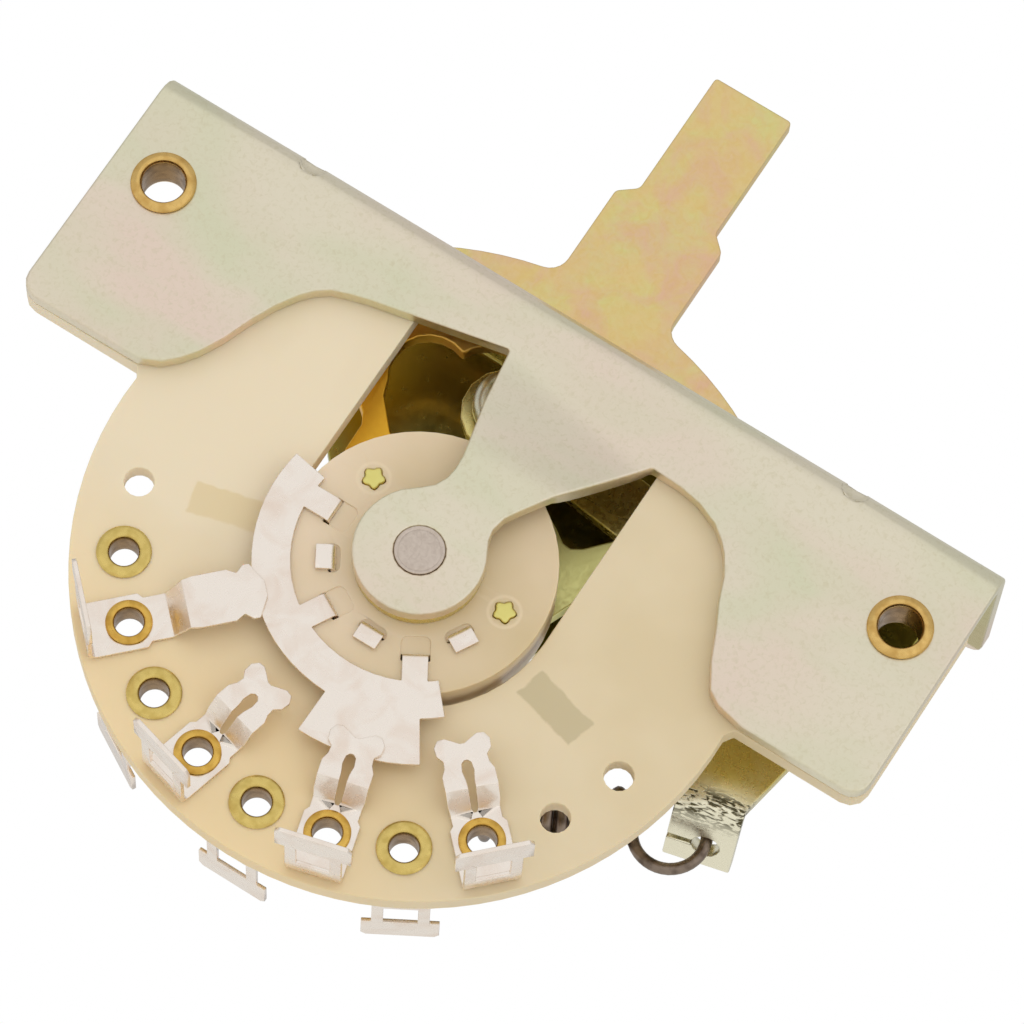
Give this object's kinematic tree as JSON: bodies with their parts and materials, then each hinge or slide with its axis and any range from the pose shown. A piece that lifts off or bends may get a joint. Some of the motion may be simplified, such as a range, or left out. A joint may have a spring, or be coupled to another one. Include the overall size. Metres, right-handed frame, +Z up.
{
  "type": "lever selector switch",
  "caption": "Panel-mounted open-frame lever switch: folded steel frame, insulating wafer with clip terminals, contact rotor, and a spring-loaded ball that indexes a scalloped lever",
  "frame": {"origin": "middle of the lever slot, on top of the flange that lies against the panel", "axes": "X along the frame to the right, Y away from the front plate towards the spring, Z up through the panel along the lever"},
  "size_m": [0.0636, 0.02, 0.0633],
  "materials": {
    "zinc_plate": "bright zinc plate with a faint iridescent passivation",
    "yellow_chromate": "yellow chromate over zinc",
    "laminate": "paper laminate, satin",
    "rotor_board": "satin laminate",
    "silver_plate": "silver plated spring brass",
    "eyelet_brass": "polished brass",
    "bright_steel": "plain steel",
    "spring_wire": "dark music wire"
  },
  "bodies": {
    "base": {"frame": "zinc_plate", "wafer": "laminate", "frame_eyelet_left": "eyelet_brass", "frame_eyelet_right": "eyelet_brass", "terminal_front_left_1": "silver_plate", "terminal_front_left_3": "silver_plate", "terminal_front_right_1": "silver_plate", "terminal_front_right_3": "silver_plate", "terminal_rear_left_2": "silver_plate", "terminal_rear_left_4": "silver_plate", "terminal_rear_middle": "silver_plate", "terminal_rear_right_2": "silver_plate", "terminal_eyelet_left_1": "eyelet_brass", "terminal_eyelet_left_2": "eyelet_brass", "terminal_eyelet_left_3": "eyelet_brass", "terminal_eyelet_left_4": "eyelet_brass", "terminal_eyelet_middle": "eyelet_brass", "terminal_eyelet_right_1": "eyelet_brass", "terminal_eyelet_right_2": "eyelet_brass", "terminal_eyelet_right_3": "eyelet_brass", "pivot_shaft": "bright_steel", "front_washer": "bright_steel", "rear_spacer": "bright_steel", "arm_pin": "bright_steel", "index_spring": "spring_wire"},
    "lever_rotor": {"lever": "yellow_chromate", "rotor": "rotor_board", "front_ring": "silver_plate", "rear_ring": "silver_plate", "hub_spacer": "bright_steel"},
    "index": {"index_arm": "zinc_plate", "index_ball": "bright_steel"}
  },
  "joints": [
    {"name": "lever_turn", "type": "hinge", "parent": "base", "child": "lever_rotor", "pos_m": [0, -0.00395, -0.01979], "axis": [0, 1, 0], "range_deg": [-30, 21]},
    {"name": "arm_turn", "type": "hinge", "parent": "base", "child": "index", "pos_m": [0.0246, 0.00155, -0.00919], "axis": [0, 1, 0], "range_deg": [-3, 0], "stiffness_Nm_per_rad": 0.12, "springref_deg": 17.19, "deforming": ["index_spring"]}
  ]
}
